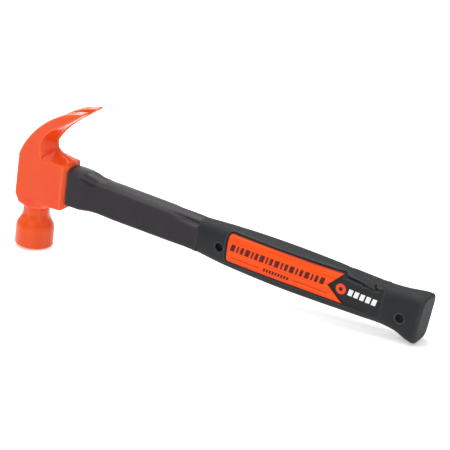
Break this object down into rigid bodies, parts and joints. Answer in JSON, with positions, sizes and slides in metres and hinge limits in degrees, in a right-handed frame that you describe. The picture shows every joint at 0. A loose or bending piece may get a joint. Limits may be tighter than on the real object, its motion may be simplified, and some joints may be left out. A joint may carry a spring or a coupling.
{
  "type": "claw hammer",
  "caption": "Curved-claw hammer: painted forged head on a rod-core handle with moulded shaft and grip sleeves, side inlays and a flared butt.",
  "frame": {"origin": "centre of the striking face", "axes": "+Z from the striking face up the head towards the claw, +X along the handle towards the butt, +Y across the hammer"},
  "size_m": [0.3468, 0.03, 0.1215],
  "materials": {
    "head_paint": "glossy orange enamel over forged steel",
    "plate_steel": "bare stamped steel",
    "rod_steel": "drawn spring steel",
    "shaft_sleeve": "satin black moulding",
    "grip_rubber": "matt black rubber with a fine grain",
    "inlay": "satin orange with fine lengthwise lines",
    "print_dark": "thin dark printed marks",
    "print_light": "thin white printed marks"
  },
  "bodies": {
    "root": {"hammer_head": "head_paint", "head_safety_plate": "plate_steel", "core_rod_1": "rod_steel", "core_rod_2": "rod_steel", "core_rod_3": "rod_steel", "core_rod_4": "rod_steel", "core_rod_5": "rod_steel", "core_rod_6": "rod_steel", "shoulder_plate": "plate_steel", "rod_spacer_front": "plate_steel", "rod_spacer_middle": "plate_steel", "butt_plate": "plate_steel", "shaft_sleeve": "shaft_sleeve", "grip_sleeve": "grip_rubber", "label_inlay_near": "inlay", "label_inlay_far": "inlay"}
  },
  "joints": []
}
